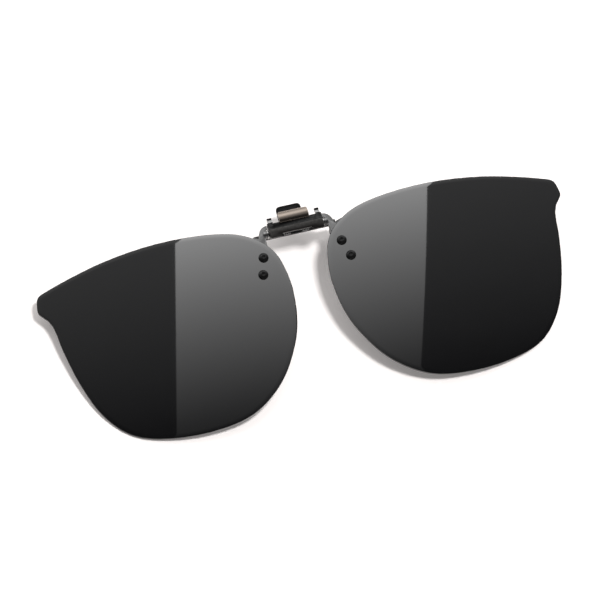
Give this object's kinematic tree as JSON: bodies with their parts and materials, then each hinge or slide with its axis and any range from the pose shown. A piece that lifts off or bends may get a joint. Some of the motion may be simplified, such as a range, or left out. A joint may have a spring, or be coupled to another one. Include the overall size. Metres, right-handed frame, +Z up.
{
  "type": "clip on flip up sun lenses",
  "caption": "Rimless dark lenses on brackets that flip up on a pin, with a sprung clip whose rubber tipped claws grip the front of spectacles.",
  "frame": {"origin": "midway between left and right, where the tips of the front and rear claws meet and grip the spectacles", "axes": "+X to the wearer's left, along the long side; +Y to the back, towards the wearer; +Z up"},
  "size_m": [0.1398, 0.012, 0.0562],
  "materials": {
    "lens_tint": "near opaque smoke grey tint, polished both sides",
    "bracket_metal": "gunmetal plated sheet, satin",
    "black_metal": "black plated sheet metal, semi gloss",
    "bronze_metal": "bronze gunmetal plating, polished",
    "spring_steel": "bright drawn steel",
    "black_rubber": "soft black silicone rubber, matt"
  },
  "bodies": {
    "clip_base": {"hinge_channel": "black_metal", "front_cover": "bracket_metal", "front_thumb_tab": "bronze_metal", "front_claw_left": "black_metal", "front_claw_right": "black_metal", "front_sleeve_left": "black_rubber", "front_sleeve_right": "black_rubber", "friction_washer_left": "spring_steel", "friction_washer_right": "spring_steel", "torsion_spring_left": "spring_steel", "torsion_spring_right": "spring_steel"},
    "lens_frame": {"hinge_pin": "spring_steel", "lens_left": "lens_tint", "lens_right": "lens_tint", "lens_bracket_left": "bracket_metal", "lens_bracket_right": "bracket_metal", "rivet_upper_left": "black_metal", "rivet_upper_right": "black_metal", "rivet_lower_left": "black_metal", "rivet_lower_right": "black_metal", "rivet_washer_upper_left": "spring_steel", "rivet_washer_upper_right": "spring_steel", "rivet_washer_lower_left": "spring_steel", "rivet_washer_lower_right": "spring_steel"},
    "clip_lever": {"lever_plate": "black_metal", "thumb_pad": "black_rubber", "rear_claw_left": "black_metal", "rear_claw_right": "black_metal", "rear_sleeve_left": "black_rubber", "rear_sleeve_right": "black_rubber"}
  },
  "joints": [
    {"name": "lens_flip", "type": "hinge", "parent": "clip_base", "child": "lens_frame", "pos_m": [0, -0.0032, 0.00865], "axis": [-1, 0, 0], "range_deg": [0, 90]},
    {"name": "jaw_open", "type": "hinge", "parent": "clip_base", "child": "clip_lever", "pos_m": [0, -0.0032, 0.00865], "axis": [1, 0, 0], "range_deg": [0, 22], "stiffness_Nm_per_rad": 0.02, "springref_deg": -28.65, "deforming": ["torsion_spring_left", "torsion_spring_right"]}
  ]
}
